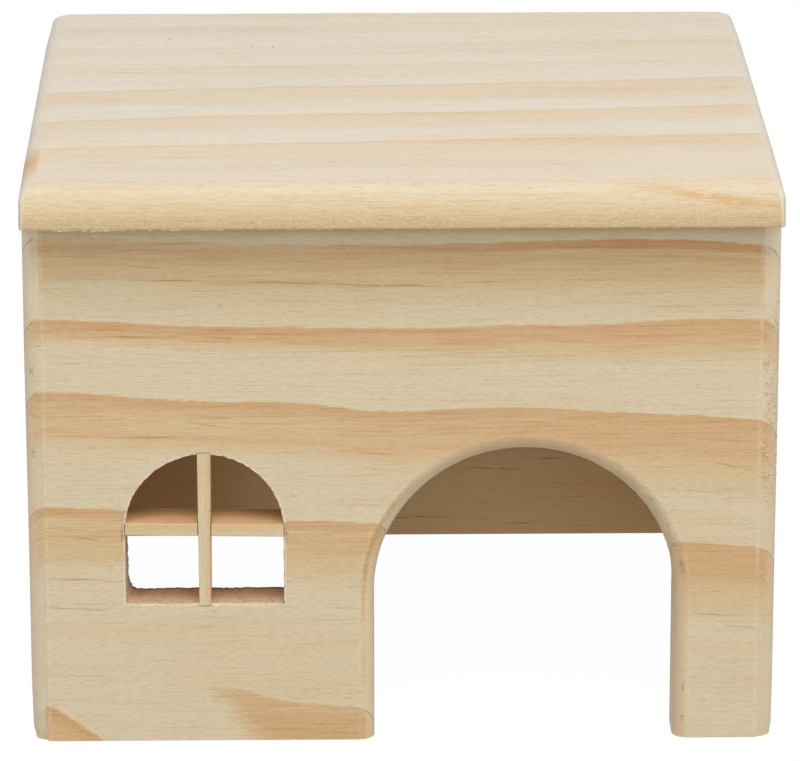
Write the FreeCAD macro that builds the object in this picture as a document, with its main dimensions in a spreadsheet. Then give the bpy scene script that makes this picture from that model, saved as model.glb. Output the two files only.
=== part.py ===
import FreeCAD, Part
import os
import Sketcher

# A small free-standing hamster house of solid pine boards.
# Four walls stand on the ground: the front and back panels run the full width and cover the
# ends of the two side panels. A flat roof board lies on all four walls. The front panel has an
# arched doorway and an arched window with two glazing bars, which cross in a halving joint.
# Blind dowels, glued in, hold the walls to each other and the roof to the side panels.
#
# Frame: millimetres, +Z up, the front faces -Y. The origin is on the ground, under the middle
# of the roof board.

SIZES = [
    # name, value, what it is
    ("house_width", 149.4, "outer width of the walls, along X"),
    ("house_depth", 136.8, "outer depth of the walls, along Y"),
    ("wall_height", 108.6, "height of all four walls"),
    ("wall_thickness", 10.0, "thickness of the wall boards"),
    ("wall_edge_round", 3.6, "rounding of the outer upright edges of the front and back panels"),
    ("roof_thickness", 8.2, "thickness of the roof board"),
    ("roof_overhang_front", 6.6, "how far the roof stands out past the front and back panels"),
    ("roof_overhang_side", 0.3, "how far the roof stands out past the side panels"),
    ("roof_edge_round", 5.6, "rounding of the roof board's top edges"),
    ("door_width", 60.0, "clear width of the doorway"),
    ("door_height", 60.9, "height of the doorway at the crown of its arch"),
    ("door_margin", 20.3, "from the doorway to the right-hand edge of the front panel"),
    ("door_edge_round", 3.1, "rounding of the doorway's front edge"),
    ("window_width", 31.6, "clear width of the window"),
    ("window_height", 31.4, "height of the window at the crown of its arch"),
    ("window_sill_height", 29.1, "height of the window sill above the ground"),
    ("window_margin", 19.5, "from the window to the left-hand edge of the front panel"),
    ("bar_thickness", 2.6, "thickness of both glazing bars as seen from the front"),
    ("bar_setback", 0.1, "how far the bars stay behind the two faces of the front panel"),
    ("bar_clearance", 0.1, "gap beside a glazing bar, in its notches and in the halving joint"),
    ("crossbar_height", 15.6, "middle of the crossbar above the window sill"),
    ("notch_depth", 0.4, "how deep a bar's end is let into the edge of the window"),
    ("dowel_diameter", 4.0, "diameter of every dowel"),
    ("dowel_length", 20.0, "length of every dowel"),
    ("dowel_chamfer", 0.4, "chamfer on both ends of a dowel"),
    ("dowel_clearance", 0.05, "glue gap between a dowel and the wall of its bore"),
    ("dowel_end_clearance", 0.5, "free depth of a bore beyond the dowel's end"),
    ("wall_dowel_entry", 6.0, "how deep a wall dowel enters the front or back panel"),
    ("wall_dowel_inset", 22.0, "from a wall dowel to the nearer end of the corner joint"),
    ("roof_dowel_entry", 5.0, "how deep a roof dowel enters the roof board"),
    ("roof_dowel_inset", 30.0, "from a roof dowel to the nearer end of its side panel"),
]

# Lengths that several pieces share, as expressions on the sheet.
ROOF_WIDTH = "(dims.house_width + 2 * dims.roof_overhang_side)"
ROOF_DEPTH = "(dims.house_depth + 2 * dims.roof_overhang_front)"
SIDE_LENGTH = "(dims.house_depth - 2 * dims.wall_thickness)"
SIDE_CENTRE = "((dims.house_width - dims.wall_thickness) / 2)"
DOOR_LEFT = "(dims.house_width / 2 - dims.door_margin - dims.door_width)"
WINDOW_LEFT = "(dims.window_margin - dims.house_width / 2)"
WINDOW_MIDDLE = f"({WINDOW_LEFT} + dims.window_width / 2)"
BORE_DIAMETER = "(dims.dowel_diameter + 2 * dims.dowel_clearance)"
BAR_DEPTH = "(dims.wall_thickness - 2 * dims.bar_setback)"
SLOT_WIDTH = "(dims.bar_thickness + 2 * dims.bar_clearance)"
UPRIGHT_LENGTH = "(dims.window_height + 2 * dims.notch_depth - 2 * dims.bar_clearance)"
CROSSBAR_LENGTH = "(dims.window_width + 2 * dims.notch_depth - 2 * dims.bar_clearance)"
CROSSBAR_MIDDLE = "(dims.window_sill_height + dims.crossbar_height)"
LOW_DOWEL = "dims.wall_dowel_inset"
HIGH_DOWEL = "(dims.wall_height - dims.wall_dowel_inset)"
ROOF_DOWEL_PLACE = f"({SIDE_LENGTH} / 2 - dims.roof_dowel_inset)"

TOLERANCE = 1e-4

doc = FreeCAD.newDocument("hamster_house")
dims = doc.addObject("Spreadsheet::Sheet", "dims")
for row, (alias, size, meaning) in enumerate(SIZES, start=1):
    dims.set(f"A{row}", alias)
    dims.set(f"B{row}", str(size))
    dims.set(f"C{row}", meaning)
    dims.setAlias(f"B{row}", alias)
doc.recompute()


def value(expression):
    """The number that an expression on the sheet has now."""
    return float(dims.evalExpression(expression))


# ---- bodies, sketches and features ----


def new_body(name, x="0", y="0", z="0"):
    """An empty body whose own origin is at x, y, z."""
    body = doc.addObject("PartDesign::Body", name)
    body.Label = name
    body.AllowCompound = True
    for axis, expression in (("x", x), ("y", y), ("z", z)):
        body.setExpression(f"Placement.Base.{axis}", expression)
    return body


def new_sketch(body, name, plane_role, distance="0"):
    """A sketch on one of the body's origin planes, moved along the plane's normal."""
    sketch = body.newObject("Sketcher::SketchObject", name)
    planes = {feature.Role: feature for feature in body.Origin.OriginFeatures}
    sketch.AttachmentSupport = [(planes[plane_role], "")]
    sketch.MapMode = "FlatFace"
    sketch.setExpression("AttachmentOffset.Base.z", distance)
    return sketch


def constrain(sketch, kind, *where, size):
    """A dimension of the sketch, bound to an expression on the sheet."""
    index = sketch.addConstraint(Sketcher.Constraint(kind, *where, value(size)))
    sketch.setExpression(f"Constraints[{index}]", size)


def outline(sketch, left, bottom, width, height, arched=False):
    """A rectangle, or one with a half-round top, placed by its lower left corner."""
    x0 = value(left)
    x1 = x0 + value(width)
    y0 = value(bottom)
    straight = f"({height}) - ({width}) / 2" if arched else height
    y1 = y0 + value(straight)
    corners = [FreeCAD.Vector(x, y, 0) for x, y in ((x0, y1), (x0, y0), (x1, y0), (x1, y1))]
    first = sketch.addGeometry(Part.LineSegment(corners[0], corners[1]))
    base = sketch.addGeometry(Part.LineSegment(corners[1], corners[2]))
    last = sketch.addGeometry(Part.LineSegment(corners[2], corners[3]))
    for a, b in ((first, base), (base, last)):
        sketch.addConstraint(Sketcher.Constraint("Coincident", a, 2, b, 1))
    sketch.addConstraint(Sketcher.Constraint("Vertical", first))
    sketch.addConstraint(Sketcher.Constraint("Horizontal", base))
    sketch.addConstraint(Sketcher.Constraint("Vertical", last))
    if arched:
        crown = FreeCAD.Vector((x0 + x1) / 2, y1 + (x1 - x0) / 2, 0)
        top = sketch.addGeometry(Part.Arc(corners[3], crown, corners[0]))
        sketch.addConstraint(Sketcher.Constraint("Tangent", last, 2, top, 1))
        sketch.addConstraint(Sketcher.Constraint("Tangent", top, 2, first, 1))
    else:
        top = sketch.addGeometry(Part.LineSegment(corners[3], corners[0]))
        sketch.addConstraint(Sketcher.Constraint("Coincident", last, 2, top, 1))
        sketch.addConstraint(Sketcher.Constraint("Coincident", top, 2, first, 1))
        sketch.addConstraint(Sketcher.Constraint("Horizontal", top))
    constrain(sketch, "DistanceX", -1, 1, base, 1, size=left)
    constrain(sketch, "DistanceY", -1, 1, base, 1, size=bottom)
    constrain(sketch, "DistanceX", base, 1, base, 2, size=width)
    constrain(sketch, "DistanceY", last, 1, last, 2, size=straight)


def circles(sketch, diameter, centres):
    """Circles of one diameter, each at its own x and y."""
    for x, y in centres:
        centre = FreeCAD.Vector(value(x), value(y), 0)
        shape = Part.Circle(centre, FreeCAD.Vector(0, 0, 1), value(diameter) / 2)
        circle = sketch.addGeometry(shape)
        constrain(sketch, "DistanceX", -1, 1, circle, 3, size=x)
        constrain(sketch, "DistanceY", -1, 1, circle, 3, size=y)
        constrain(sketch, "Diameter", circle, size=diameter)


def pad(body, sketch, length, reverse=False):
    """Grows the body from the sketch, along the sketch's normal or against it."""
    feature = body.newObject("PartDesign::Pad", f"{sketch.Name}_pad")
    feature.Profile = sketch
    feature.setExpression("Length", length)
    feature.Reversed = reverse
    doc.recompute()
    return feature


def pocket(body, sketch, depth, reverse=False):
    """Cuts the sketch into the body, against the sketch's normal or along it."""
    before = body.Shape.Volume
    feature = body.newObject("PartDesign::Pocket", f"{sketch.Name}_pocket")
    feature.Profile = sketch
    feature.setExpression("Length", depth)
    feature.Reversed = reverse
    doc.recompute()
    if feature.Shape.Volume > before - TOLERANCE:
        raise RuntimeError(f"{feature.Name} cuts nothing")
    return feature


def edge_names(feature, wanted):
    """Names of the feature's edges for which wanted(edge) is true."""
    return [f"Edge{i}" for i, edge in enumerate(feature.Shape.Edges, start=1) if wanted(edge)]


def dress(body, kind, name, base, edges, dimension, size):
    """A fillet or chamfer on some edges of the base feature."""
    feature = body.newObject(f"PartDesign::{kind}", name)
    feature.Base = (base, edges)
    feature.setExpression(dimension, size)
    doc.recompute()
    return feature


def lies_at(edge, axis, place):
    """True if the whole edge lies in the plane where the axis has that value."""
    box = edge.BoundBox
    low, high = {"x": (box.XMin, box.XMax), "y": (box.YMin, box.YMax), "z": (box.ZMin, box.ZMax)}[axis]
    return abs(low - place) < TOLERANCE and abs(high - place) < TOLERANCE


# ---- front and back panels ----


def full_width_panel(name, y):
    """A wall board of the full width. Its own origin is at the bottom of its Y-minus face."""
    body = new_body(name, y=y)
    sketch = new_sketch(body, f"{name}_outline", "XZ_Plane")
    outline(sketch, "-dims.house_width / 2", "0", "dims.house_width", "dims.wall_height")
    pad(body, sketch, "dims.wall_thickness", reverse=True)
    return body


def round_outer_edges(body, outer_face):
    """Rounds the two upright edges at the ends of the panel's outer face."""
    half = value("dims.house_width / 2")

    def is_outer(edge):
        at_end = lies_at(edge, "x", half) or lies_at(edge, "x", -half)
        return at_end and lies_at(edge, "y", outer_face)

    edges = edge_names(body.Tip, is_outer)
    dress(body, "Fillet", f"{body.Name}_round", body.Tip, edges, "Radius",
          "min(dims.wall_edge_round; 0.9 * dims.wall_thickness)")


def dowel_places():
    """Where the wall dowels enter a full-width panel, as x and height."""
    return [(f"{sign}{SIDE_CENTRE}", place) for sign in ("-", "") for place in (LOW_DOWEL, HIGH_DOWEL)]


def bore_panel(body, inner_face, reverse):
    """Blind bores for the wall dowels, from the panel's inner face."""
    sketch = new_sketch(body, f"{body.Name}_bores", "XZ_Plane", inner_face)
    circles(sketch, BORE_DIAMETER, dowel_places())
    pocket(body, sketch, "dims.wall_dowel_entry + dims.dowel_end_clearance", reverse)


def cut_through_panel(body, name, left, bottom, width, height, arched=False):
    """An opening right through a full-width panel."""
    sketch = new_sketch(body, name, "XZ_Plane")
    outline(sketch, left, bottom, width, height, arched)
    return pocket(body, sketch, "dims.wall_thickness")


front_panel = full_width_panel("front_panel", "-dims.house_depth / 2")
cut_through_panel(
    front_panel, "doorway",
    DOOR_LEFT, "0", "dims.door_width", "dims.door_height",
    arched=True,
)


def is_doorway_front_edge(edge):
    """True for the jambs and the arch of the doorway on the front face."""
    left = value(DOOR_LEFT) - TOLERANCE
    right = value(f"{DOOR_LEFT} + dims.door_width") + TOLERANCE
    box = edge.BoundBox
    return left < box.XMin and box.XMax < right and lies_at(edge, "y", 0.0)


dress(front_panel, "Fillet", "doorway_round", front_panel.Tip,
      edge_names(front_panel.Tip, is_doorway_front_edge), "Radius",
      "min(dims.door_edge_round; 0.9 * dims.wall_thickness)")
round_outer_edges(front_panel, 0.0)
cut_through_panel(
    front_panel, "window",
    WINDOW_LEFT, "dims.window_sill_height", "dims.window_width", "dims.window_height",
    arched=True,
)
cut_through_panel(
    front_panel, "upright_notches",
    f"{WINDOW_MIDDLE} - {SLOT_WIDTH} / 2", "dims.window_sill_height - dims.notch_depth",
    SLOT_WIDTH, "dims.window_height + 2 * dims.notch_depth",
)
cut_through_panel(
    front_panel, "crossbar_notches",
    f"{WINDOW_LEFT} - dims.notch_depth", f"{CROSSBAR_MIDDLE} - {SLOT_WIDTH} / 2",
    "dims.window_width + 2 * dims.notch_depth", SLOT_WIDTH,
)
bore_panel(front_panel, "-dims.wall_thickness", reverse=True)

back_panel = full_width_panel("back_panel", "dims.house_depth / 2 - dims.wall_thickness")
round_outer_edges(back_panel, value("dims.wall_thickness"))
bore_panel(back_panel, "0", reverse=False)


# ---- side panels ----


def side_panel(name, x):
    """A wall board between the front and back panels. Its own origin is under its middle."""
    body = new_body(name, x=x)
    plan = new_sketch(body, f"{name}_plan", "XY_Plane")
    outline(plan, "-dims.wall_thickness / 2", f"-{SIDE_LENGTH} / 2", "dims.wall_thickness", SIDE_LENGTH)
    pad(body, plan, "dims.wall_height")
    end_depth = "dims.dowel_length - dims.wall_dowel_entry + dims.dowel_end_clearance"
    for end, sign, reverse in (("front", "", False), ("back", "-", True)):
        bores = new_sketch(body, f"{name}_{end}_bores", "XZ_Plane", f"{sign}{SIDE_LENGTH} / 2")
        circles(bores, BORE_DIAMETER, [("0", LOW_DOWEL), ("0", HIGH_DOWEL)])
        pocket(body, bores, end_depth, reverse)
    top_bores = new_sketch(body, f"{name}_top_bores", "XY_Plane", "dims.wall_height")
    circles(top_bores, BORE_DIAMETER, [("0", f"-{ROOF_DOWEL_PLACE}"), ("0", ROOF_DOWEL_PLACE)])
    pocket(body, top_bores, "dims.dowel_length - dims.roof_dowel_entry + dims.dowel_end_clearance")
    return body


left_side_panel = side_panel("left_side_panel", f"-{SIDE_CENTRE}")
right_side_panel = side_panel("right_side_panel", SIDE_CENTRE)


# ---- roof board ----

roof_board = new_body("roof_board", z="dims.wall_height")
roof_plan = new_sketch(roof_board, "roof_plan", "XY_Plane")
outline(roof_plan, f"-{ROOF_WIDTH} / 2", f"-{ROOF_DEPTH} / 2", ROOF_WIDTH, ROOF_DEPTH)
roof_blank = pad(roof_board, roof_plan, "dims.roof_thickness")
roof_top_edges = edge_names(roof_blank, lambda edge: lies_at(edge, "z", value("dims.roof_thickness")))
dress(roof_board, "Fillet", "roof_round", roof_blank, roof_top_edges, "Radius",
      "min(dims.roof_edge_round; 0.9 * dims.roof_thickness)")
roof_bores = new_sketch(roof_board, "roof_bores", "XY_Plane")
circles(roof_bores, BORE_DIAMETER, [
    (f"{side}{SIDE_CENTRE}", f"{end}{ROOF_DOWEL_PLACE}") for side in ("-", "") for end in ("-", "")
])
pocket(roof_board, roof_bores, "dims.roof_dowel_entry + dims.dowel_end_clearance", reverse=True)


# ---- glazing bars ----

FRONT_OF_BARS = "-dims.house_depth / 2 + dims.bar_setback"


def glazing_bar(name, z, left, bottom, width, height):
    """A thin bar in the window. Its own origin is on its front face, under the window's middle."""
    body = new_body(name, x=WINDOW_MIDDLE, y=FRONT_OF_BARS, z=z)
    face = new_sketch(body, f"{name}_face", "XZ_Plane")
    outline(face, left, bottom, width, height)
    pad(body, face, BAR_DEPTH, reverse=True)
    return body


def halving_slot(body, left, bottom, width, height, start, reverse):
    """The half of the halving joint that is cut out of one bar, from its back or its front."""
    slot = new_sketch(body, f"{body.Name}_slot", "XZ_Plane", start)
    outline(slot, left, bottom, width, height)
    pocket(body, slot, f"{BAR_DEPTH} / 2 + dims.bar_clearance / 2", reverse)


window_upright = glazing_bar(
    "window_upright", "dims.window_sill_height - dims.notch_depth + dims.bar_clearance",
    "-dims.bar_thickness / 2", "0", "dims.bar_thickness", UPRIGHT_LENGTH,
)
halving_slot(
    window_upright,
    "-dims.bar_thickness", f"dims.crossbar_height + dims.notch_depth - dims.bar_clearance - {SLOT_WIDTH} / 2",
    "2 * dims.bar_thickness", SLOT_WIDTH,
    f"-{BAR_DEPTH}", reverse=True,
)
window_crossbar = glazing_bar(
    "window_crossbar", CROSSBAR_MIDDLE,
    f"-{CROSSBAR_LENGTH} / 2", "-dims.bar_thickness / 2", CROSSBAR_LENGTH, "dims.bar_thickness",
)
halving_slot(
    window_crossbar,
    f"-{SLOT_WIDTH} / 2", "-dims.bar_thickness", SLOT_WIDTH, "2 * dims.bar_thickness",
    "0", reverse=False,
)


# ---- dowels ----


def dowel_pair(name, plane_role, centres, x, y="0", z="0", reverse=False):
    """Two glued dowels side by side. The pad grows from the lower end of their axes."""
    body = new_body(name, x=x, y=y, z=z)
    ends = new_sketch(body, f"{name}_ends", plane_role)
    circles(ends, "dims.dowel_diameter", centres)
    rods = pad(body, ends, "dims.dowel_length", reverse)
    rims = edge_names(rods, lambda edge: isinstance(edge.Curve, Part.Circle))
    dress(body, "Chamfer", f"{name}_chamfers", rods, rims, "Size",
          "min(dims.dowel_chamfer; 0.4 * dims.dowel_diameter)")
    return body


dowels = []
for side, sign in (("left", "-"), ("right", "")):
    for end, start in (
        ("front", "-dims.house_depth / 2 + dims.wall_thickness - dims.wall_dowel_entry"),
        ("back", "dims.house_depth / 2 - dims.wall_thickness + dims.wall_dowel_entry - dims.dowel_length"),
    ):
        dowels.append(dowel_pair(
            f"{end}_{side}_dowels", "XZ_Plane", [("0", LOW_DOWEL), ("0", HIGH_DOWEL)],
            x=f"{sign}{SIDE_CENTRE}", y=start, reverse=True,
        ))
    dowels.append(dowel_pair(
        f"roof_{side}_dowels", "XY_Plane",
        [("0", f"-{ROOF_DOWEL_PLACE}"), ("0", ROOF_DOWEL_PLACE)],
        x=f"{sign}{SIDE_CENTRE}", z="dims.wall_height + dims.roof_dowel_entry - dims.dowel_length",
    ))


# ---- checks and export ----

doc.recompute()
pieces = [
    front_panel, back_panel, left_side_panel, right_side_panel, roof_board,
    window_upright, window_crossbar, *dowels,
]
for item in doc.Objects:
    if "Invalid" in item.State or "Error" in item.State:
        raise RuntimeError(f"{item.Name} failed: {item.State}")
for piece in pieces:
    if piece.Shape.isNull() or not piece.Shape.isValid():
        raise RuntimeError(f"{piece.Label} has no valid shape")

os.makedirs("parts", exist_ok=True)
for piece in pieces:
    piece.Shape.exportStep(os.path.join("parts", f"{piece.Label}.step"))
    box = piece.Shape.BoundBox
    print(
        f"{piece.Label}: {len(piece.Shape.Solids)} solid(s), {piece.Shape.Volume:.1f} mm3,"
        f" x {box.XMin:.2f}..{box.XMax:.2f}, y {box.YMin:.2f}..{box.YMax:.2f}, z {box.ZMin:.2f}..{box.ZMax:.2f}"
    )
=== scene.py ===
# %% [markdown]
# # A small pine house for a hamster
# The house is a glued box of five pine boards. The front board has an arched doorway and an arched
# window with two crossed bars. Every board is raw pine, so the whole look rests on three things:
# the shape of the rounded edges, the growth rings, and soft light. The boards' places and sizes come
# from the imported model, so this lesson starts by loading it.

import math
import random

import bmesh
import bpy
from mathutils import Matrix, Vector, noise


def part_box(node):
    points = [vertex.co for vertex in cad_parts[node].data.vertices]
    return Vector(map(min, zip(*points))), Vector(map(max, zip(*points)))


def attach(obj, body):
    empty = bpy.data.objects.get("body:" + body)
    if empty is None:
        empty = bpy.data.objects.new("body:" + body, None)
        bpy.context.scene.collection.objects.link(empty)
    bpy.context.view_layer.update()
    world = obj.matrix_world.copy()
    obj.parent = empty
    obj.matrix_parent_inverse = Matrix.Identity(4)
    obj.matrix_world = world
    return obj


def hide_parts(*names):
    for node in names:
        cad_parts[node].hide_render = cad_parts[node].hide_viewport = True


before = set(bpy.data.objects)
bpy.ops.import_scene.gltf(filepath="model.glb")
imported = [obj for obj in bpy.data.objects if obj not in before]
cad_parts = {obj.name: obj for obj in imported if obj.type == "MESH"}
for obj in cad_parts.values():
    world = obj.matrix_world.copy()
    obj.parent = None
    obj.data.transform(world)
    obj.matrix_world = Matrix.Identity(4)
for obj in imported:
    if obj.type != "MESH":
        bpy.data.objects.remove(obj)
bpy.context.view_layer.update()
MM = 0.001
print("nodes:", sorted(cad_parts))

# %% [markdown]
# ## Small helpers
# Colours are written as sRGB hex values, as a paint chart gives them, but shaders work with linear
# light, so one function turns one into the other. A second function adds any node with its
# settings and links. With those two, a material reads like a recipe. Materials are made one at a
# time, so add() always works in the node tree that begin() emptied last.


# %% Colour and node helpers
def linear(hex_colour):
    """An sRGB hex value such as "#D8B98A" as linear red, green, blue and alpha."""
    parts = [int(hex_colour[i:i + 2], 16) / 255 for i in (1, 3, 5)]
    return [p / 12.92 if p <= 0.04045 else ((p + 0.055) / 1.055) ** 2.4 for p in parts] + [1.0]


def begin(owner):
    """Gives a new material or world an empty node tree, where add() works from now on."""
    global tree
    owner.use_nodes = True
    tree = owner.node_tree
    tree.nodes.clear()
    return owner


def new_material(name):
    """A material with an empty node tree."""
    return begin(bpy.data.materials.new(name))


def add(kind, inputs=None, **settings):
    """Adds one shader node. An input is a number, a colour, a node's first output, or a socket."""
    node = tree.nodes.new("ShaderNode" + kind)
    for name, value in settings.items():
        setattr(node, name, value)
    for key, value in (inputs or {}).items():
        if isinstance(value, bpy.types.Node):
            value = value.outputs[0]
        if isinstance(value, bpy.types.NodeSocket):
            tree.links.new(value, node.inputs[key])
        else:
            node.inputs[key].default_value = value
    return node


def maths(operation, *values):
    """The output of a Math node for one, two or three numbers or sockets."""
    return add("Math", dict(enumerate(values)), operation=operation).outputs[0]


WHITE = linear("#FFFFFF")
print("earlywood white in linear light:", [round(c, 3) for c in linear("#E6D8B8")[:3]])


# %% Object helpers
def new_object(name, data):
    """An object that is linked to the scene."""
    made = bpy.data.objects.new(name, data)
    bpy.context.scene.collection.objects.link(made)
    return made


def mesh_from(bm, name):
    """A mesh made from a bmesh, which is then freed."""
    mesh = bpy.data.meshes.new(name)
    bm.to_mesh(mesh)
    bm.free()
    return mesh


# %% [markdown]
# ## The camera
# A product picture of a small object is taken from a metre away with a long lens, so that upright
# edges stay almost parallel. The camera stands a little above the roof and looks down 17 degrees.
# Its place and lens are written as measured numbers. A Track To constraint would be the other way,
# but it can't give the small roll and the exact framing.

# %% Camera
IMAGE_WIDTH = 800
FOCAL_PIXELS = 5616.5
PITCH, YAW, ROLL = math.radians(17.371), math.radians(-0.819), math.radians(-0.045)
camera_data = bpy.data.cameras.new("studio_camera")
camera_data.sensor_fit = "HORIZONTAL"
camera_data.sensor_width = 36.0
camera_data.lens = FOCAL_PIXELS * camera_data.sensor_width / IMAGE_WIDTH
camera = new_object("studio_camera", camera_data)
camera.matrix_world = (
    Matrix.Translation(Vector((-15.565, -1127.018, 406.948)) * MM)
    @ Matrix.Rotation(YAW, 4, "Z")
    @ Matrix.Rotation(math.pi / 2 - PITCH, 4, "X")
    @ Matrix.Rotation(ROLL, 4, "Z")
)
bpy.context.scene.camera = camera
print("lens:", round(camera_data.lens, 2), "mm")

# %% [markdown]
# ## Light, world and floor
# Raw pine is pale and matt, so it needs broad light: a large soft box above the front, a low one
# that reaches into the doorway, one on the right that models the rounded edges, and a pale world
# that fills the shadows. The roof's overhang then throws a soft shadow on the top of the front
# board, which fades over two centimetres. The floor looks white only to the camera: a mix driven
# by Light Path keeps that white from lighting the object, and a share of plain diffuse keeps the
# object's shadow.


# %% World and soft boxes
def seen_directly():
    """1 for a camera ray, also after a mirror or a glass, and 0 for a ray that carries light."""
    rays = add("LightPath").outputs
    mirrored = maths("MAXIMUM", rays["Is Glossy Ray"], rays["Is Transmission Ray"])
    return maths("MAXIMUM", rays["Is Camera Ray"], mirrored)


def soft_box(name, azimuth, elevation, distance, width, height, power):
    """A rectangular lamp that looks at the middle of the house. Azimuth 0 is in front, 90 right."""
    lamp_data = bpy.data.lights.new(name, "AREA")
    lamp_data.shape = "RECTANGLE"
    lamp_data.size, lamp_data.size_y, lamp_data.energy = width, height, power
    lamp = new_object(name, lamp_data)
    a, e = math.radians(azimuth), math.radians(elevation)
    towards = Vector((math.sin(a) * math.cos(e), -math.cos(a) * math.cos(e), math.sin(e)))
    lamp.location = Vector((0, 0, AIM_HEIGHT)) + towards * distance
    lamp.rotation_euler = towards.to_track_quat("Z", "Y").to_euler()
    lamp.visible_camera = False
    print(name, "at", [round(c, 2) for c in lamp.location], "m")


bpy.context.scene.view_settings.view_transform = "Standard"
FILL = 0.40
AIM_HEIGHT = 50 * MM
bpy.context.scene.world = begin(bpy.data.worlds.new("studio_world"))
dim = add("Background", {"Color": WHITE, "Strength": FILL})
white = add("Background", {"Color": WHITE, "Strength": 1.0})
add("OutputWorld", {"Surface": add("MixShader", {0: seen_directly(), 1: dim, 2: white})})
# Name, azimuth and elevation in degrees, distance, width and height in metres, power in watts
for lamp in (("top_soft_box", 2, 58, 1.25, 1.1, 0.7, 9.7),
             ("front_soft_box", 0, 14, 1.5, 0.7, 0.4, 2.4),
             ("side_soft_box", 70, 30, 1.5, 0.8, 0.8, 1.5)):
    soft_box(*lamp)

# %% Floor
FLOOR_SHOWN, FLOOR_WHITE = 0.93, 1.045  # share of even white that the camera sees, and its strength
TABLE_GLOW = 0.22  # what a pale table would throw back from round the picture
FLOOR_HALF, FLOOR_DROP = 3.0, 0.02 * MM
floor_material = new_material("white_studio_floor")
matt = add("BsdfDiffuse", {"Color": linear("#A0A0A0")})
lit = add("AddShader", {0: matt, 1: add("Emission", {"Color": WHITE, "Strength": TABLE_GLOW})})
glow = add("Emission", {"Color": WHITE, "Strength": FLOOR_WHITE})
share = maths("MULTIPLY", seen_directly(), FLOOR_SHOWN)
add("OutputMaterial", {"Surface": add("MixShader", {0: share, 1: lit, 2: glow})})
bm = bmesh.new()
bmesh.ops.create_grid(bm, x_segments=1, y_segments=1, size=FLOOR_HALF,
                      matrix=Matrix.Translation((0, 0, -FLOOR_DROP)))
floor = new_object("floor", mesh_from(bm, "floor"))
floor.data.materials.append(floor_material)
print("floor", 2 * FLOOR_HALF, "m square")

# %% [markdown]
# ## What pine looks like
# A pine trunk adds one ring a year. The spring part, earlywood, is pale cream. The summer part,
# latewood, is orange-brown, starts softly and ends at a sharp line. A board cut across the rings
# at a slant shows them as bands: sharp on one side, fading on the other. Finer things lie on top:
# fibre streaks half a millimetre apart, short dark resin flecks, and a duller, speckled tone where
# the saw or cutter went across the fibres.
#
# A picture texture would be one way, but it has no inside: at a rounded edge the rings must bend
# as they do in solid wood. So each board's pattern is a solid one, worked out from three
# lengths in millimetres: along the grain, across it, and depth into the board.


# %% Grain coordinates
def grain_space(along, across, depth, surface_mm=0.0, flip=1.0):
    """Millimetres along the grain, across it and in from the board's outer face, as sockets."""
    place = add("TexCoord").outputs["Object"]
    in_mm = add("VectorMath", {0: place, "Scale": 1000.0}, operation="SCALE")
    axes = add("SeparateXYZ", {0: in_mm})
    inward = maths("MULTIPLY_ADD", axes.outputs[depth], flip, -flip * surface_mm)
    return axes.outputs[along], axes.outputs[across], inward


def stretched_noise(grain, along_mm, across_mm, seed, detail=2.0, roughness=0.5):
    """Noise whose grains are along_mm long and across_mm thick, from 0 to 1."""
    vector = add("CombineXYZ", {0: grain[0], 1: grain[1], 2: grain[2]})
    sized = add("VectorMath", {0: vector, 1: (1 / along_mm, 1 / across_mm, 1 / across_mm)},
                operation="MULTIPLY")
    moved = add("VectorMath", {0: sized, 1: (seed * 7.3, seed * 3.1, seed * 5.7)},
                operation="ADD")
    return add("TexNoise", {"Vector": moved, "Scale": 1.0, "Detail": detail,
                            "Roughness": roughness}).outputs[0]


def colour_ramp(value, low, high, stops):
    """A colour by value, where each stop is (value, hex colour) and values run from low to high."""
    place = add("MapRange", {"Value": value, "From Min": low, "From Max": high})
    ramp = add("ValToRGB", {0: place})
    elements = ramp.color_ramp.elements
    while len(elements) > 1:
        elements.remove(elements[-1])
    elements[0].position = (stops[0][0] - low) / (high - low)
    elements[0].color = linear(stops[0][1])
    for at, colour in stops[1:]:
        elements.new((at - low) / (high - low)).color = linear(colour)
    return ramp.outputs[0]


# %% Masks and mixes
def ramp(value, low, high):
    """0 to 1 as a value goes from low to high. Low may be the larger of the two."""
    return add("MapRange", {"Value": value, "From Min": low, "From Max": high},
               interpolation_type="SMOOTHSTEP").outputs[0]


def band(value, middle, width):
    """1 where a value is at the middle, falling to 0 at width either side."""
    off = maths("SUBTRACT", value, middle)
    return ramp(maths("ABSOLUTE", off), width, 0.0)


def overlap(*masks):
    """1 only where every mask is 1. A plain number among them weakens the result."""
    result = masks[0]
    for mask in masks[1:]:
        result = maths("MULTIPLY", result, mask)
    return result


def facing(axis, low, high):
    """0 to 1 as a surface turns to face along an axis, either way."""
    normal = add("SeparateXYZ", {0: add("NewGeometry").outputs["Normal"]})
    return ramp(maths("ABSOLUTE", normal.outputs[axis]), low, high)


def from_arch(grain, centre, spring):
    """Millimetres from an arch's middle: from its centre above the springing, sideways below."""
    side = maths("SUBTRACT", grain[0], centre)
    rise = maths("SUBTRACT", grain[1], spring)
    up = maths("MAXIMUM", rise, 0.0)
    return add("VectorMath", {0: add("CombineXYZ", {0: side, 1: up})},
               operation="LENGTH").outputs["Value"]


def patchy(grain, along_mm, across_mm, seed, detail, low, high):
    """A mask of stretched noise, 0 to 1 as the noise goes from low to high."""
    return ramp(stretched_noise(grain, along_mm, across_mm, seed, detail), low, high)


def spread(value, low, high):
    """Stretches a value from 0 to 1 over another range."""
    return add("MapRange", {"Value": value, "To Min": low, "To Max": high})


def mixed(factor, a, b, blend="MIX"):
    """Colour a where factor is 0 and colour b, or a blended with b, where it is 1."""
    return add("Mix", {"Factor": factor, "A": a, "B": b}, data_type="RGBA",
               blend_type=blend).outputs["Result"]


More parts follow.
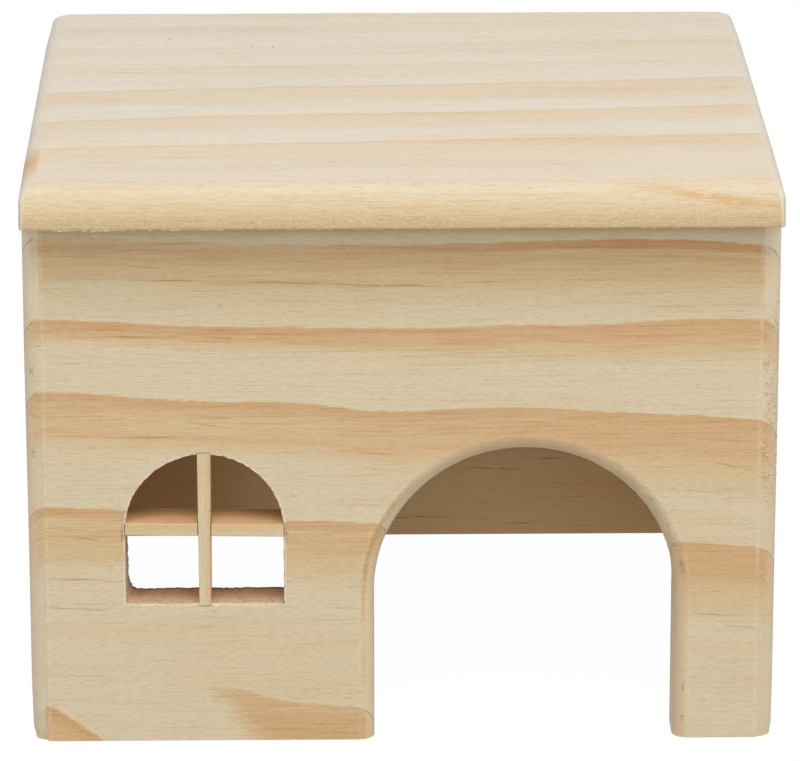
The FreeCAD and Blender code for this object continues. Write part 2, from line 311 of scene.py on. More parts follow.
def tinted(colour, factor, hex_colour):
    """Multiplies colour by a tint where factor is 1."""
    return mixed(factor, colour, linear(hex_colour), "MULTIPLY")


def covered(colour, factor, hex_colour):
    """Replaces colour by another where factor is 1."""
    return mixed(factor, colour, linear(hex_colour))


# %% [markdown]
# ## Growth rings, in two ways
# On the front and the roof the rings are what a person remembers of the board, so there each
# ring's sharp line is drawn as a curve: its height at a few places along the grain. Below
# the line a colour ramp in millimetres gives the fade. The other boards need no such care. Their
# rings are circles round the trunk's middle, which lies some way outside the board, and
# that alone gives honest stripes on the faces and arcs on the end grain.


# %% Drawn rings
SPAN = 150.0  # mm of board that the drawn curves cover
DEEPEST = 29.0  # mm below its edge to which a ring's fade can reach


def drawn_rings(grain, rings, base, dip, middle=0.0):
    """The colour of rings drawn one by one over a base colour, and masks of their sharp edges and
    of their dense wood. A ring is its edge as points (along, across) and its fade as stops for the
    left end and for the right end. A ring that starts halfway along also says where it starts on
    the middle line and how far that start leans. dip is how far an edge falls per millimetre of
    depth. middle is the height that the curves are centred on."""
    half, crests, late = SPAN / 2, 0.0, 0.0
    if middle:
        grain = (grain[0], maths("SUBTRACT", grain[1], middle), grain[2])
    hairs = stretched_noise(grain, 3.0, 0.6, 2.0, 2.0)
    uneven = maths("ADD", spread(stretched_noise(grain, 26.0, 30.0, 1.0, 3.0), -0.7, 0.7),
                   spread(hairs, -0.5, 0.5))
    height = maths("ADD", grain[1], maths("MULTIPLY_ADD", grain[2], dip, uneven))
    place = add("MapRange", {"Value": grain[0], "From Min": -half, "From Max": half})
    rightness = ramp(place, 0.25, 0.80)
    colour = linear(base)
    for points, stops_left, stops_right, *start in rings:
        curve = add("FloatCurve", {"Value": place})
        shape = curve.mapping.curves[0]
        while len(shape.points) > 2:
            shape.points.remove(shape.points[1])
        spots = [((x + half) / SPAN, (z - middle) / SPAN + 0.5) for x, z in points]
        shape.points[0].location, shape.points[1].location = spots[0], spots[-1]
        for spot in spots[1:-1]:
            shape.points.new(*spot)
        curve.mapping.update()
        below = maths("SUBTRACT", spread(curve, -half, half), height)
        fade = mixed(rightness, colour_ramp(below, -1.0, DEEPEST, stops_left),
                     colour_ramp(below, -1.0, DEEPEST, stops_right))
        inside, crest = ramp(below, -0.25, 0.2), band(below, 0.1, 0.4)
        if start:
            first, lean = start
            leaning = maths("MULTIPLY_ADD", height, lean, grain[0])
            begun = ramp(maths("MULTIPLY_ADD", hairs, 6.0, leaning), first - 1.0, first + 7.5)
            inside, crest = overlap(inside, begun), overlap(crest, begun)
        crests = maths("MAXIMUM", crest, crests)
        late = maths("MAXIMUM", overlap(inside, ramp(below, 10.0, 4.0)), late)
        colour = mixed(inside, colour, fade)
    return colour, crests, late


# %% Drawn hairlines
def drawn_hairs(grain, hairs, thickness=0.27):
    """A mask of thin dark lines, thickest in the middle. Each is (from along, across, to along,
    across, strength)."""
    wander = stretched_noise(grain, 9.0, 30.0, 41.0, 2.0)
    waved = maths("MULTIPLY_ADD", wander, 0.9, grain[1])
    broken = patchy(grain, 3.0, 0.5, 42.0, 2.0, 0.32, 0.50)
    total = 0.0
    for x0, z0, x1, z1, strength in hairs:
        slope = (z1 - z0) / (x1 - x0)
        tilted = maths("MULTIPLY_ADD", grain[0], -slope, waved)
        line = band(tilted, z0 - x0 * slope + 0.45, thickness)
        span = band(grain[0], (x0 + x1) / 2, abs(x1 - x0) * 0.6)
        hair = overlap(line, span, broken, strength)
        total = maths("MAXIMUM", hair, total)
    return total


# %% Rings round a trunk
def trunk_rings(grain, pith, spacing, stops, seed, bend):
    """The colour of rings round a pith at (across, depth) in millimetres, spacing apart. Wandering
    bends them by up to bend spacings."""
    wander = stretched_noise(grain, 60.0, 16.0, seed, 2.0)
    shift = spread(wander, -bend * spacing, bend * spacing)
    flat = add("CombineXYZ", {0: maths("SUBTRACT", grain[1], pith[0]),
                              1: maths("SUBTRACT", grain[2], pith[1])})
    radius = add("VectorMath", {0: flat}, operation="LENGTH").outputs["Value"]
    years = maths("DIVIDE", maths("ADD", radius, shift), spacing)
    return colour_ramp(maths("FRACT", years), 0.0, 1.0, stops)


# %% [markdown]
# ## From rings to a finished pine
# This function puts the fine things over any ring colour and ends in one Principled shader. Pine
# that was planed and sanded is matt with a faint silk, so its roughness is about a half, a bit
# lower on the dense latewood. The bump is a few hundredths of a millimetre of raised fibre.


# %% Pine finish
# Each streak of the finish: its length and thickness in mm, the noise values between which it
# grows to full strength, its tint, and how many sizes of noise it mixes.
STREAKS = [
    (90.0, 9.0, 0.45, 0.75, "#FCF5EC", 2.0),
    (13.0, 0.34, 0.48, 0.80, "#F6EFE3", 3.0),
    (9.0, 0.17, 0.62, 0.82, "#EDE0CD", 1.0),
    (1.6, 0.20, 0.40, 0.75, "#F3ECE1", 2.0),
]
RAISED_FIBRE = 0.03 * MM


def finish_pine(grain, colour, along_axis, seed, over=(), coarse=1.0, fleck="#C9A57C",
                end_colour="#F0E6D2", end_turn=(0.30, 1.0), end_share=0.45):
    """Fibres, flecks, end grain, bump and shader over a ring colour. over lists what covers the
    rest as (share, colour, masks). coarse makes every streak thicker. end_turn says how far a
    surface turns along the grain before end grain starts and is full, and end_share how much of
    end_colour shows there."""
    for i, (length, thick, low, high, tint, detail) in enumerate(STREAKS):
        streak = patchy(grain, length * coarse, thick * coarse, seed + i, detail, low, high)
        colour = tinted(colour, streak, tint)
    specks = patchy(grain, 1.6, 0.17 * coarse, seed + 4, 1.0, 0.73, 0.84)
    colour = tinted(colour, specks, fleck)
    end = facing(along_axis, *end_turn)
    pores = stretched_noise(grain, 0.35, 0.30, seed + 5, 2.0)
    dull = tinted(covered(colour, end_share, end_colour), ramp(pores, 0.5, 0.8), "#DCCDB4")
    colour = mixed(end, colour, dull)
    for share, hex_colour, *masks in over:
        colour = covered(colour, overlap(*masks, share), hex_colour)
    fibres = stretched_noise(grain, 38.0, 0.55 * coarse, seed + 2, 3.0, 0.65)
    relief = add("Mix", {"Factor": end, "A": fibres, "B": pores}, data_type="FLOAT")
    raised = add("Bump", {"Height": relief, "Strength": 1.0, "Distance": RAISED_FIBRE})
    shader = add("BsdfPrincipled", {"Base Color": colour, "Roughness": spread(fibres, 0.50, 0.66),
                                    "Normal": raised, "IOR": 1.5, "Specular IOR Level": 0.3})
    add("OutputMaterial", {"Surface": shader})


print("pine finish with", len(STREAKS), "kinds of streak")

# %% [markdown]
# ## The front board's pine
# Rift-sawn pine: the saw met the rings at a slant, so a ring's edge falls a millimetre and a half
# for each millimetre of depth. That is why the bands bend down over the rounded side edges. Four
# rings cross the board, far apart, as in a fast-grown plantation tree, and two more show at the
# bottom, one in the left corner and one that starts left of the doorway.

# %% Front board's rings
PALE, LIGHT = "#E2D3B4", "#DFC8A2"
MID, LATE, EDGE, DEEP = "#E0C49B", "#DCB98E", "#D8B284", "#D8AB7A"
TONES = {"p": PALE, "l": LIGHT, "m": MID, "t": LATE, "e": EDGE, "d": DEEP}
H = 54.3  # half the wall's height, which the drawn edges are centred on


def fade(text):
    """Ramp stops from a text such as "0e 2.5t 9p": millimetres below the edge, then a tone."""
    return [(float(stop[:-1]), TONES[stop[-1]]) for stop in text.split()]


FRONT_RINGS = [
    ([(-75, 105.8), (-50, 104.9), (-31, 103.9), (3, 103.6), (33, 104.4), (50, 104.6), (75, 103.0)],
     fade("-1l 0m 1m 2t 4.4m 4.9l 7l 7.6m 8.1l 9.5p"),
     fade("-1d 0d 1.6d 2.2m 3.6t 5m 7l 10p")),
    ([(-75, 89.2), (-60, 88.1), (-36, 87.0), (-16, 86.5), (38, 87.2), (58, 88.0), (75, 87.6)],
     fade("-1e 0e 1.2e 2t 2.9t 3.4m 3.9l 5.5p"),
     fade("-1m 0t 0.9e 1.8t 3t 4.6m 6.5l 9p")),
    ([(-75, 74.0), (-60, 73.1), (-50, 72.2), (-21, 71.2), (-1.4, 69.4), (13, 70.0), (43, 69.0),
      (75, 66.8)],
     fade("-1e 0e 1e 2t 4m 7m 8t 8.8m 10l 12.5p"),
     fade("-1e 0e 1.2e 2.5t 7t 10m 14l 18p")),
    ([(-75, 49.8), (-56, 48.9), (-38, 47.0), (-11, 46.4), (30, 44.0), (56, 41.9), (75, 40.3)],
     fade("-1e 0e 1.6e 2.4m 5.6m 6.2t 6.8m 9m 10.5l 13p"),
     fade("-1e 0e 1.2t 2.2t 7t 10m 14l 18p")),
    ([(-75, 5.4), (-72.2, 7.4), (-70, 7.0), (-66.6, 4.8), (-61, 0.8), (-55, -3), (75, -20)],
     fade("-1m 0t 0.8d 2.5e 4t 20t"),
     fade("-1t 20t")),
    ([(-75, 12.5), (-38, 11.8), (-32, 10.8), (-24, 8.6), (-9, 7.0), (5, 4.5), (20, -12), (75, -20)],
     fade("-1l 0m 2.5t 6e 12t 20t"),
     fade("-1t 1t 1.6e 12t 20t"), -62.4, 0.6),
]
FRONT_HAIRS = [
    (-54, 96.9, -34, 96.1, 1.0), (-37, 96.2, -8, 95.6, 0.9), (-20, 95.5, 14, 95.0, 1.0),
    (11, 96.0, 22, 96.1, 0.7), (-58, 100.0, -43, 98.9, 0.5), (-60, 85.1, -48, 84.9, 1.0),
    (-40, 84.9, -31, 84.7, 0.9), (-54, 67.8, -47, 67.4, 0.7), (-44, 67.5, -34, 66.0, 0.8),
    (-73, 64.9, -55, 64.2, 0.8), (-60, 64.0, -40, 64.4, 0.9), (-58, 60.2, -49, 59.4, 0.4),
    (-67, 43.2, -58, 42.6, 0.8), (-73, 34.7, -53, 34.0, 0.8), (-73, 28.6, -58, 27.9, 0.8),
    (-14, 61.3, 0, 60.2, 0.9), (-10, 58.0, 2, 56.6, 0.5), (60, 58.8, 72, 56.2, 0.9),
    (49, 53.3, 63, 52.0, 0.6), (57, 26.8, 69, 25.9, 0.8), (63, 24.0, 73, 23.1, 0.7),
    (60, 31.6, 69, 31.0, 0.6), (-14, 28.2, -7, 27.9, 0.7), (-40, 68.4, -32, 67.9, 0.6),
    (-65, 72.4, -58, 72.1, 0.5), (-42, 86.4, -32, 86.2, 0.6), (-65, 86.6, -51, 86.2, 0.6),
    (-70, 45.0, -63, 44.8, 0.6), (60, 63.3, 70, 62.6, 0.6),
]
front_low, front_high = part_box("front_panel")
# The openings, in mm: their middle, the radius and springing of their arch, and the window's sill
DOOR_X, DOOR_RADIUS, DOOR_SPRING = 24.4, 30.0, 30.9
WINDOW_X, WINDOW_RADIUS, WINDOW_SPRING, SILL = -39.4, 15.8, 44.7, 29.1
DOOR_ROUND, SIDE_ROUND = 3.1, 3.6
FRONT_DIP = 1.5
front_pine = new_material("rift_sawn_pine_front")
grain = x, z, depth = grain_space(0, 2, 1, front_low.y / MM)
colour, crests, late = drawn_rings(grain, FRONT_RINGS, PALE, FRONT_DIP, H)
streaky = patchy(grain, 17.0, 0.5, 16.0, 3.0, 0.46, 0.68)
colour = tinted(colour, overlap(late, streaky), "#F4F0E6")
colour = tinted(colour, drawn_hairs(grain, FRONT_HAIRS), "#E2C69B")

# %% [markdown]
# ## Marks on the front board
# Each mark is a mask: where it is, how wide it is, and a noise that breaks it up, all in
# millimetres. The cutter burnt the left jamb of the doorway, the torn right edge carries dark ticks,
# and the window's edges are rough from the saw. Some marks are painted light and shade: a greyer
# crown of the arch and shade in the fluffed fibres on its right, where its rounding faces down;
# paler side edges next to the roof; a pale inner arris of the doorway; a paler front and a darker
# back inside the window; and the shadow of the roof's overhang along the board's top. At the end
# each mask is laid over the pine with its share and its colour.

# %% Marks that the cutters left on the front, and painted light and shade
rough = stretched_noise(grain, 0.9, 0.6, 12.0, 2.0)
gritty = ramp(rough, 0.28, 0.58)
wavy = patchy(grain, 4.0, 2.5, 13.0, 2.0, 0.25, 0.65)
sideways = maths("ABSOLUTE", x)
skin, at_front, at_front_half = ramp(depth, 1.0, 0.5), ramp(depth, 2.0, 1.0), ramp(depth, 4.0, 2.5)
door_ring = from_arch(grain, DOOR_X, DOOR_SPRING)
window_ring = from_arch(grain, WINDOW_X, WINDOW_SPRING)
door_corner = band(door_ring, 31.0, 2.2)
left, right = ramp(x, 30.0, 20.0), ramp(x, 38.0, 46.0)
burnt = overlap(band(door_ring, 32.2, 0.9), left, gritty)
torn = overlap(ramp(x, 71.4, 72.2), band(z, 70.0, 26.0))
sawn = overlap(ramp(window_ring, 16.1, 15.8), ramp(z, 27.6, 28.2), ramp(depth, 0.2, 0.5))
FRONT_MARKS = [
    # painted light on the rounded side edges next to the roof, where light reaches under its ends,
    # left jamb, rings on the rounded side edges, sanded left foot
    (0.4, "#F7ECD3", ramp(sideways, 71.1, 71.6), ramp(z, 84.0, 96.0)),
    (0.35, "#F0D3A3", door_corner, left, ramp(z, 44.0, 34.0)),
    (0.7, "#C0946A", crests, facing(0, 0.15, 0.60)),
    (0.75, PALE, ramp(x, -71.0, -72.4), ramp(z, 11.0, 8.0)),
    # snags at the crossbar's notches, ticks in the torn right edge, a greyer crown that is painted
    # shade where the rounding faces down, yellow right jamb
    (0.8, "#6A4E34", band(window_ring, 16.2, 0.6), band(z, 44.0, 2.6), at_front,
     ramp(rough, 0.34, 0.48)),
    (0.6, "#C7A07B", torn, patchy(grain, 0.5, 1.1, 15.0, 1.0, 0.60, 0.68)),
    (0.45, "#CDB999", band(door_ring, 31.5, 1.7), at_front_half, ramp(z, 38.0, 54.0)),
    (0.45, "#CDB083", door_corner, right, at_front_half),
    # fluffed fibres on the arch's right with painted shade where the rounding faces down, scorched
    # and smudged wood, creases at the door and the sides, painted light on the inner arris
    (0.4, "#BFA985", band(door_ring, 31.8, 1.3), right, ramp(z, 38.0, 42.0),
     ramp(rough, 0.45, 0.60)),
    (0.75, "#C9985F", burnt, ramp(z, 24.0, 36.0), ramp(z, 58.0, 50.0)),
    (0.40, "#CF9F68", burnt, patchy(grain, 7.0, 7.0, 11.0, 3.0, 0.40, 0.56), ramp(z, 34.0, 28.0)),
    (0.18, "#EFE1C6", band(door_ring, 33.0, 0.6), at_front, wavy),
    (0.28, "#EFE1C6", band(sideways, 70.9, 0.7), at_front, wavy),
    # painted light: a pale inner arris of the doorway, where the jamb turns away from the light
    (0.8, "#F0E4CC", band(door_ring, 30.0, 0.3), band(depth, 3.3, 1.1)),
    # sawn inside of the window, darker and redder, partly its own tone and partly painted shade;
    # painted light on its front part, dark pits, and painted shade along its back edge
    (0.50, "#BC8A6B", sawn), (0.5, "#EFCDB0", sawn, ramp(depth, 6.0, 1.0)),
    (0.5, "#8E6A4C", sawn, ramp(rough, 0.52, 0.66)), (0.7, "#6E4F33", sawn, ramp(depth, 8.6, 9.8)),
    # rim of the window, rim of the sill, cracks below it
    (0.75, "#F5EAD3", band(window_ring, 16.0, 0.34), skin, ramp(z, 29.0, 29.3),
     ramp(rough, 0.30, 0.58)),
    (0.8, "#EFDFC4", band(z, 28.95, 0.50), ramp(band(x, WINDOW_X, 16.4), 0.02, 0.05), skin,
     ramp(rough, 0.36, 0.52)),
    (0.7, "#7A5B3C", band(z, 28.75, 0.22), band(x, -39.9, 4.5), skin,
     patchy(grain, 1.2, 0.3, 14.0, 2.0, 0.45, 0.55)),
]
for at, tall, wide, hex_colour in ((36.7, 2.4, 0.7, "#A5805A"), (10.8, 1.3, 0.35, "#B5794F"),
                                   (4.2, 1.5, 0.4, "#A86C44")):
    FRONT_MARKS.append((0.85, hex_colour, band(door_ring, 32.0, wide), band(z, at, tall), right,
                        gritty))
for at in (78.1, 69.2, 61.0):
    FRONT_MARKS.append((0.6, "#AD8259", band(x, -73.2, 0.8), band(z, at, 1.7),
                        ramp(rough, 0.46, 0.56)))
# Painted shade of the roof's overhang: a faint darker band from 84 to 103 mm up, and a darker strip
# along the board's top, right under the roof.
colour = tinted(colour, overlap(ramp(z, 84.0, 95.0), ramp(z, 103.0, 99.0)), "#F7F5EF")
colour = tinted(colour, ramp(z, 104.6, 107.2), "#E4D7C0")
finish_pine(grain, colour, 0, 10.0, FRONT_MARKS, end_colour="#F6E5C6", end_turn=(0.25, 0.9),
            end_share=0.5)
print(front_pine.name, "has", len(tree.nodes), "nodes")

# %% [markdown]
# ## The roof board's pine
# The roof is a flat-sawn board. Its flat face is painted pale and a little pink, which is a painted
# sheen: the whitish look of a face seen low across it. Its rounded front edge is tinted yellower. So
# the colour changes along the line where the flat face ends, and a mask finds that line by place:
# how far forward a point lies, with three times as much weight on how far it has fallen. The faces
# that turn to the front and back, and the lowest millimetres of the edges, are darker: painted
# shade.

# %% Roof board's rings
ROOF_PALE, ROOF_MID, ROOF_LATE, ROOF_EDGE = "#EAE1D1", "#E9DCC8", "#E8D7BE", "#E4CDAB"
ROOF_FADES = [(-1, ROOF_LATE), (0.0, ROOF_EDGE), (2, ROOF_LATE), (9, ROOF_LATE), (14, ROOF_PALE)]
SOFT_FADES = [(-1, ROOF_PALE), (0.0, ROOF_MID), (4, ROOF_MID), (10, ROOF_PALE)]
NEAR_FADES = ROOF_FADES[:-1] + [(14, ROOF_MID)]
ROOF_RINGS = []
for start, end, stops in ((58, 64, SOFT_FADES), (38, 45, SOFT_FADES), (21, 28, SOFT_FADES),
                          (0.5, 12.5, ROOF_FADES), (-23, -10, ROOF_FADES),
                          (-44, -33.5, NEAR_FADES)):
    middle = (start + end) / 2
    ROOF_RINGS.append(([(-75, start), (-30, middle - 1.5), (20, middle + 1.2), (75, end)],
                       stops, stops))
ROOF_HAIRS = [
    (-63, 17.5, -51, 17.3, 1.0), (-71, 27.1, -62, 26.9, 0.5), (-55, -27.0, -51, -27.1, 0.8),
    (-48, -13.5, -43, -13.6, 0.8), (-71, -18.7, -64, -18.0, 0.6), (-51, -51.1, -39, -50.5, 0.7),
    (-57, -52.5, -53, -52.6, 0.7), (-23, -27.5, -19, -27.6, 0.6), (-15, -55.5, -9, -54.1, 0.6),
    (3, -26.4, 9, -25.7, 0.8), (64, 3.5, 72, 3.4, 1.0), (28, -11.6, 36, -10.1, 0.5),
    (7, -10.4, 13, -10.5, 0.8), (4, -44.4, 8, -44.5, 0.8), (42, -38.1, 49, -38.2, 0.5),
    (-64, -58.4, -54, -58.6, 0.5), (-36, 28.2, -29, 28.9, 0.5), (16, 22.1, 26, 23.7, 0.5),
    (43, 25.1, 60, 25.7, 0.6), (-14, 27.8, -5, 28.5, 0.4),
]
print("roof rings:", len(ROOF_RINGS), "hairlines:", len(ROOF_HAIRS))

# %% Roof board's colours and marks
ROOF_DIP = 0.6
roof_low, roof_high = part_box("roof_board")
roof_pine = new_material("flat_sawn_pine_roof")
grain = x, y, depth = grain_space(0, 1, 2, roof_high.z / MM, -1.0)
height = maths("SUBTRACT", roof_high.z / MM, depth)
front_view = (x, height, y)
at_front = ramp(y, -68.6, -69.6)
colour, _, _ = drawn_rings(grain, ROOF_RINGS, ROOF_PALE, ROOF_DIP)
# the rounded front edge is tinted yellower than the flat face, whose pale pink is painted sheen
front_rounding = ramp(maths("MULTIPLY_ADD", depth, -3.2, y), -67.6, -67.85)
colour = tinted(colour, front_rounding, "#FBF7EC")
# painted shade: darker and yellower where the board's faces turn upright, to the front and back
colour = tinted(colour, facing(1, 0.5, 1.0), "#F7EBDA")
colour = tinted(colour, drawn_hairs(grain, ROOF_HAIRS, 0.35), "#D9C1A3")
colour = tinted(colour, ramp(height, 115.9, 114.9), "#F8FAFC")
# painted shade: darker low on the roof's edges
colour = tinted(colour, ramp(height, 111.8, 110.0), "#F9F4EC")
slant = drawn_hairs(front_view, [(40, 117.0, 82, 111.6, 1.0)], 1.5)
colour = tinted(colour, overlap(slant, at_front, 0.9), "#F6DDB8")
low_hairs = drawn_hairs(front_view, [(-31, 109.4, -22, 109.2, 0.8), (8, 109.3, 18, 109.2, 0.9),
                                     (-66, 111.3, 70, 111.2, 0.7)])
ROOF_MARKS = [
    # bruised left end, hairlines and fuzz low on the front edge, grey fibres on top
    (0.75, "#D9A679", ramp(x, -71.2, -72.4), band(y, -53.0, 15.0),
     patchy(grain, 1.2, 9.0, 47.0, 2.0, 0.22, 0.48)),
    (0.6, "#C8A377", low_hairs, at_front),
    (0.35, "#F2E4C6", patchy(grain, 0.6, 0.25, 46.0, 2.0, 0.52, 0.70), at_front,
     ramp(height, 113.5, 111.0)),
    (0.5, "#C4B59F", patchy(grain, 6.0, 0.6, 45.0, 1.0, 0.70, 0.80), facing(2, 0.9970, 0.9996)),
]
for along, across in ((-48.1, 46.9), (-30.5, 40.4), (-26.0, 39.4)):
    ROOF_MARKS.append((0.9, "#6F6252", band(x, along, 0.4), band(y, across, 0.6)))
finish_pine(grain, colour, 0, 30.0, ROOF_MARKS, coarse=1.15, fleck="#D8BFA5",
            end_colour="#EBE2D2", end_turn=(0.06, 0.45), end_share=0.65)
print(roof_pine.name, "has", len(tree.nodes), "nodes")

# %% [markdown]
# ## Pine for the walls and the bars
# The side boards and the two glazing bars take their rings from a trunk. Each has its own pith, so
# no two boards match, as in a real glued box. In the bars the rings are close together for their
# size, so that one edge of a bar is pale and the other orange. The back board shows through the
# doorway and the window, so its rings are drawn, as one curve at four heights.

# %% Side boards' and bars' materials
SEASONS = [(0.0, PALE), (0.45, LIGHT), (0.75, MID), (0.93, LATE), (0.985, EDGE), (1.0, PALE)]
BAR_SEASONS = [(0.0, "#E6D9BC"), (0.55, "#E3D1AE"), (0.68, "#E3CCA6"), (0.85, "#E1C69C"),
               (1.0, MID)]
# A node's axes along, across and into the board, its pith, ring spacing, noise seed and bend
TRUNKS = {
    "left_side_panel": (1, 2, 0, (150.0, 40.0), 13.0, 60.0, 0.5),
    "right_side_panel": (1, 2, 0, (-40.0, -64.0), 17.0, 70.0, 0.5),
    "window_upright": (2, 0, 1, (-61.7, 0.0), 4.0, 80.0, 0.15),
    "window_crossbar": (0, 2, 1, (25.0, -3.0), 12.0, 90.0, 0.15),
}
wall_materials = {}
for node, (along, across, inward, pith, spacing, seed, bend) in TRUNKS.items():
    wall_materials[node] = new_material("planed_pine_" + node)
    grain = grain_space(along, across, inward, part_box(node)[0][inward] / MM)
    seasons = BAR_SEASONS if node.startswith("window") else SEASONS
    colour = trunk_rings(grain, pith, spacing, seasons, seed, bend)
    if node == "window_crossbar":
        top, depth = facing(2, 0.5, 1.0), grain[2]
        # The top face is tinted rosy. Towards its back it is darker, a painted shadow of the wall
        # above the window, and the pale line along its back edge is a painted highlight.
        colour = tinted(colour, top, "#FDEDE2")
        colour = tinted(colour, overlap(top, ramp(depth, 4.0, 8.0)), "#F6E9DF")
        colour = covered(colour, overlap(top, ramp(depth, 9.3, 9.6), 0.8), "#FBEBCB")
    finish_pine(grain, colour, along, seed)
print("trunk materials:", len(wall_materials))

# %% Back board's material
HONEY = "#ECC898"
BACK_DIP = -0.9
BACK_FADES = [(-1, HONEY), (0, EDGE), (0.7, EDGE), (1.4, LATE), (4, LATE), (14, HONEY), (22, HONEY)]
BACK_RINGS = [([(-75, z), (-35, z + 2.0), (5, z + 0.6), (40, z - 0.8), (75, z - 2.5)],
               BACK_FADES, BACK_FADES) for z in (97, 79, 54, 30)]
BACK_HAIRS = [(-4, 4.2, 14, 4.0, 1.0), (14, 16.0, 30, 15.1, 1.0), (24, 2.7, 34, 2.6, 0.8),
              (29, 18.0, 38, 17.7, 1.0), (-50, 12.0, -36, 12.6, 0.4), (36, 9.0, 44, 8.6, 0.5)]
wall_materials["back_panel"] = new_material("planed_pine_back_panel")
grain = x, z, depth = grain_space(0, 2, 1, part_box("back_panel")[0].y / MM)
colour, _, _ = drawn_rings(grain, BACK_RINGS, HONEY, BACK_DIP, H)
colour = tinted(colour, drawn_hairs(grain, BACK_HAIRS), "#C79C6C")
# painted shade on the inner face left of the doorway, where little light reaches the back board
painted_shade_left = overlap(ramp(x, -20.0, -50.0), ramp(depth, 3.0, 0.5))
colour = tinted(colour, painted_shade_left, "#D3C0A9")
finish_pine(grain, colour, 0, 50.0)
print("wall materials:", len(wall_materials))

# %% [markdown]
# ## Tools for shaping boards
# A board starts as a cube from bmesh, sized to its node's box. Edges are rounded with the bevel
# operator, as a router would. The rounded parts are then cut into short lengths, because a
# wandering cutter and torn fibres need points to move: a long smooth face has none.

# %% Board tools
TINY = 1e-6
SHARP = math.radians(32)


def board(low, high):
    """A bmesh box between two corners."""
    bm = bmesh.new()
    size = high - low
    bmesh.ops.create_cube(bm, size=1.0, matrix=Matrix.Translation((low + high) / 2)
                          @ Matrix.Diagonal((size.x, size.y, size.z, 1.0)))
    return bm


def round_edges(bm, edges, radius_mm, segments):
    """Rounds some edges as a router would."""
    bmesh.ops.bevel(bm, geom=edges, offset=radius_mm * MM, offset_type="OFFSET",
                    segments=segments, profile=0.5, affect="EDGES", material=-1,
                    clamp_overlap=True)


def slice_faces(bm, faces, axis, step_mm):
    """Cuts some faces into lengths along an axis."""
    low = min(v.co[axis] for f in faces for v in f.verts)
    high = max(v.co[axis] for f in faces for v in f.verts)
    count = max(1, round((high - low) / (step_mm * MM)))
    direction = Vector((0, 0, 0))
    direction[axis] = 1.0
    for i in range(1, count):
        at = direction * (low + (high - low) * i / count)
        near = [f for f in faces if f.is_valid
                and min(v.co[axis] for v in f.verts) < at[axis] < max(v.co[axis] for v in f.verts)]
        edges = dict.fromkeys(e for f in near for e in f.edges)
        verts = dict.fromkeys(v for f in near for v in f.verts)
        made = bmesh.ops.bisect_plane(bm, geom=[*edges, *verts, *near], plane_co=at,
                                      plane_no=direction, dist=1e-7)
        faces = [f for f in faces if f.is_valid]
        faces += [g for g in made["geom"] if isinstance(g, bmesh.types.BMFace) and g.is_valid
                  and g not in faces]


def is_flat(face):
    """True for a face that looks straight along an axis."""
    return max(abs(c) for c in face.normal) > 0.99995


def lies_at(edge, axis, value):
    """True for an edge whose two ends are both at a place along an axis."""
    return all(abs(v.co[axis] - value) < TINY for v in edge.verts)


def wear(bm, amount):
    """Moves the points of rounded edges inwards. amount(place in mm) gives the depth in mm.
    A point on the border of a flat face stays in that face."""
    bm.normal_update()
    moves = {}
    for v in bm.verts:
        flats = [f.normal for f in v.link_faces if is_flat(f)]
        if len(flats) == len(v.link_faces) or len(flats) > 1:
            continue
        direction = v.normal.copy()
        for n in flats:
            direction -= n * direction.dot(n)
        moves[v] = -direction * amount(v.co / MM) * MM
    for v, move in moves.items():
        v.co += move
    bm.normal_update()


def finished(bm, name, node, material):
    """Turns a bmesh into a piece that stands for a CAD node."""
    bmesh.ops.recalc_face_normals(bm, faces=bm.faces[:])
    for f in bm.faces:
        f.smooth = True
    for e in bm.edges:
        if len(e.link_faces) == 2:
            a, b = e.link_faces
            e.smooth = is_flat(a) == is_flat(b) and e.calc_face_angle(0.0) < SHARP
    piece = new_object(name, mesh_from(bm, name))
    piece.data.materials.append(material)
    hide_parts(node)
    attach(piece, "root")
    print(name, "has", len(piece.data.polygons), "faces")


# %% [markdown]
# ## Cutting holes
# An arch is half a disc on a rectangle. Its outline is made from a circle: the lower half is cut
# away, and the straight edge that is left is pulled down to the foot. Pulled through the board,
# it becomes a cutter, and a Boolean modifier takes it out of the board. The modifier is applied
# at once, because the bevel that comes next needs the new edges.


# %% Cutters
def arch(centre_x, spring_z, foot_z, radius, y, segments):
    """A flat arch outline with one face, at depth y in metres. The rest is in millimetres."""
    bm = bmesh.new()
    spring = spring_z * MM
    stand = Matrix.Translation((centre_x * MM, y, spring)) @ Matrix.Rotation(math.pi / 2, 4, "X")
    bmesh.ops.create_circle(bm, cap_ends=True, radius=radius * MM, segments=segments, matrix=stand)
    bmesh.ops.bisect_plane(bm, geom=bm.verts[:] + bm.edges[:] + bm.faces[:], dist=1e-7,
                           plane_co=(0, 0, spring), plane_no=(0, 0, -1), clear_outer=True)
    base = [e for e in bm.edges if lies_at(e, 2, spring)]
    for v in bmesh.ops.extrude_edge_only(bm, edges=base)["geom"]:
        if isinstance(v, bmesh.types.BMVert):
            v.co.z = foot_z * MM
    bmesh.ops.dissolve_edges(bm, edges=base)
    return bm


def through(bm, depths):
    """Pulls an outline through a board, stopping at each depth on the way."""
    start = next(iter(bm.verts)).co.y
    layer, passed = bm.faces[:], []
    for depth in depths:
        made = bmesh.ops.extrude_face_region(bm, geom=layer)["geom"]
        bmesh.ops.delete(bm, geom=passed, context="FACES_ONLY")
        layer = passed = [g for g in made if isinstance(g, bmesh.types.BMFace)]
        for v in {v for f in layer for v in f.verts}:
            v.co.y = depth
    print("cutter from", round(start / MM, 1), "to", round(depths[-1] / MM, 1), "mm")


